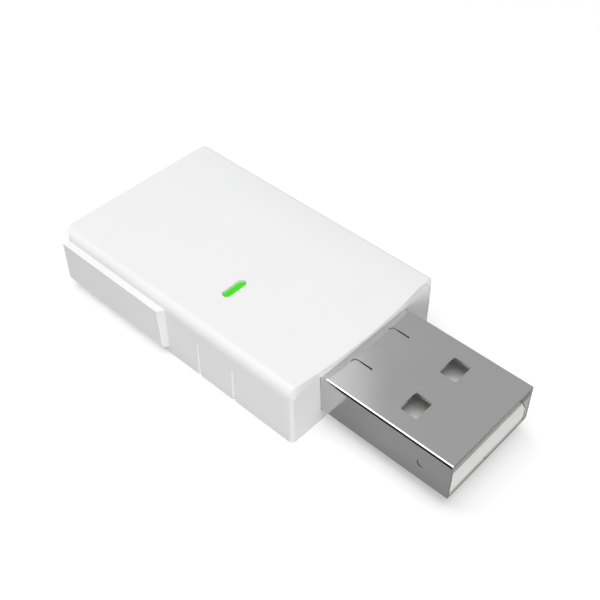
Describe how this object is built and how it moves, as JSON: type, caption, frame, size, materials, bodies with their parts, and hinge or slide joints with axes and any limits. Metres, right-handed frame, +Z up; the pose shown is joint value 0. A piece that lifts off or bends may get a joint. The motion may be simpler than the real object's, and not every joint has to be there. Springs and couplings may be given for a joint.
{
  "type": "wireless gateway dongle",
  "caption": "Stick-shaped wireless gateway with a white moulded housing, a side key, a lit slot on top and a flat metal plug at one end.",
  "frame": {"origin": "middle of the housing's flat underside", "axes": "+X along the plug, out of the housing; +Y away from the side with the key; +Z up, out of the top with the lit slot"},
  "size_m": [0.0464, 0.021, 0.0068],
  "materials": {
    "white_housing_plastic": "satin",
    "white_key_plastic": "satin",
    "green_light_pipe": "gloss",
    "plug_nickel_steel": "polished",
    "white_plug_plastic": "satin",
    "contact_gold": "polished",
    "board_laminate": "semi-gloss",
    "chip_plastic": "matte",
    "crystal_can": "satin",
    "antenna_ceramic": "matte",
    "ferrite_ceramic": "matte",
    "lamp_resin": "gloss",
    "switch_plastic": "matte",
    "plunger_plastic": "matte",
    "capacitor_ceramic": "matte",
    "resistor_ceramic": "semi-gloss"
  },
  "bodies": {
    "housing": {"cover": "white_housing_plastic", "base": "white_housing_plastic", "light_pipe": "green_light_pipe", "plug_shell": "plug_nickel_steel", "plug_insulator": "white_plug_plastic", "contact_vbus": "contact_gold", "contact_data_minus": "contact_gold", "contact_data_plus": "contact_gold", "contact_ground": "contact_gold", "circuit_board": "board_laminate", "wireless_chip": "chip_plastic", "memory_chip": "chip_plastic", "voltage_regulator": "chip_plastic", "surge_protector": "chip_plastic", "crystal": "crystal_can", "chip_antenna": "antenna_ceramic", "ferrite_bead": "ferrite_ceramic", "status_led": "lamp_resin", "switch_body": "switch_plastic", "capacitor_1": "capacitor_ceramic", "capacitor_2": "capacitor_ceramic", "capacitor_3": "capacitor_ceramic", "capacitor_4": "capacitor_ceramic", "capacitor_5": "capacitor_ceramic", "capacitor_6": "capacitor_ceramic", "resistor_1": "resistor_ceramic", "resistor_2": "resistor_ceramic", "resistor_3": "resistor_ceramic", "resistor_4": "resistor_ceramic"},
    "key": {"side_key": "white_key_plastic", "switch_plunger": "plunger_plastic"}
  },
  "joints": [
    {"name": "key_press", "type": "slide", "parent": "housing", "child": "key", "axis": [0, 1, 0], "range_m": [0, 0.00025], "stiffness_N_per_m": 6400}
  ]
}
